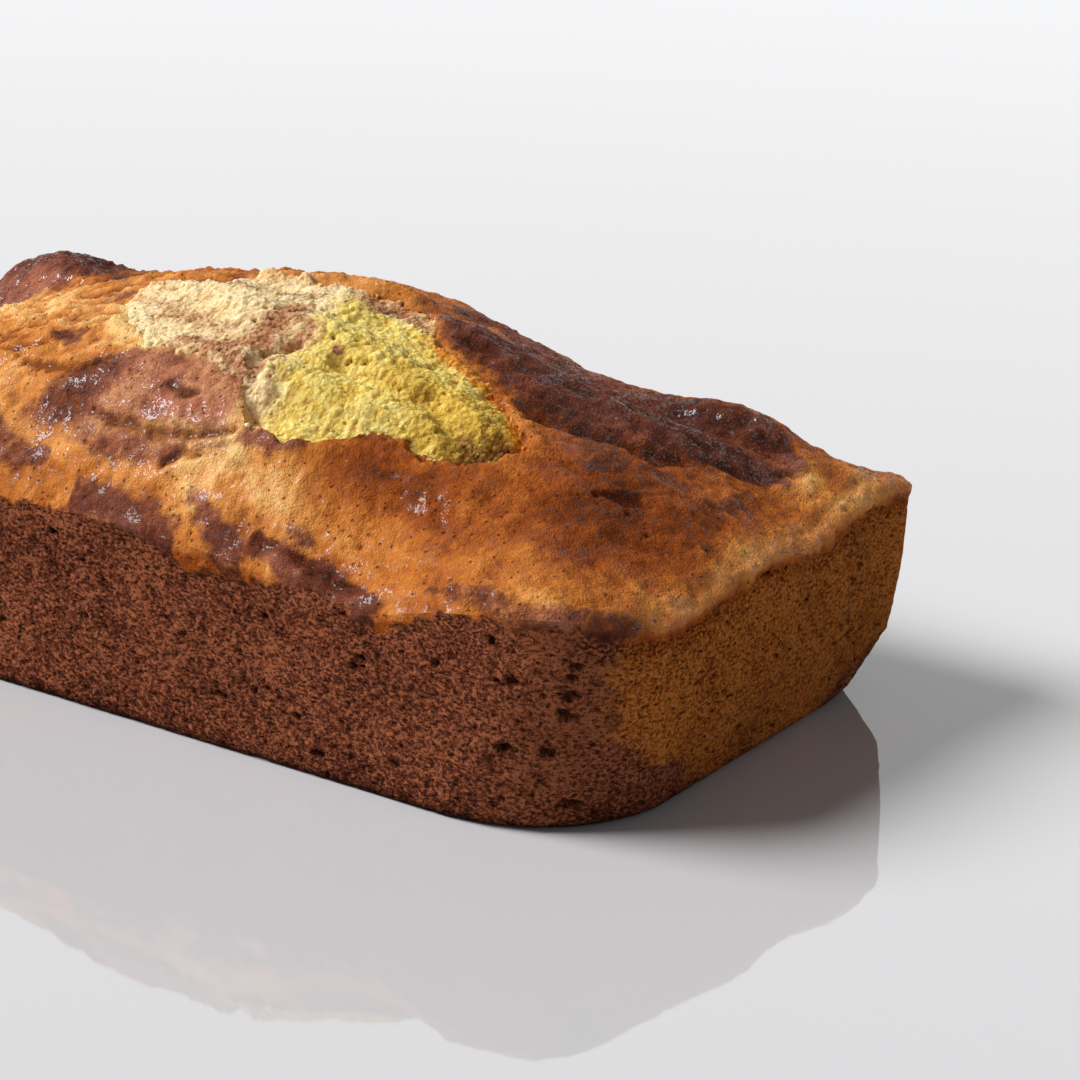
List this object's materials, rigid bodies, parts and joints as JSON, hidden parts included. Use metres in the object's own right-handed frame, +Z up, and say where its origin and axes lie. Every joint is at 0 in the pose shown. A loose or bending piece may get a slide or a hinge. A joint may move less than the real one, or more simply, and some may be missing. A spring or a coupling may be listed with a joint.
{
  "type": "marble loaf cake",
  "caption": "Whole marble loaf cake from a loaf tin: straight crumb sides under a domed golden crust that has burst along the crest.",
  "frame": {"origin": "centre of the flat underside, at the middle of the bounding box", "axes": "+Z up, +X along the loaf towards the end with the worn back corner, +Y towards the back, away from the torn flank"},
  "size_m": [0.226, 0.1246, 0.0789],
  "materials": {
    "baked_sponge": "baked sponge: golden-brown crust above, chocolate-brown crumb at the sides"
  },
  "bodies": {
    "root": {"marble_loaf": "baked_sponge"}
  },
  "joints": []
}
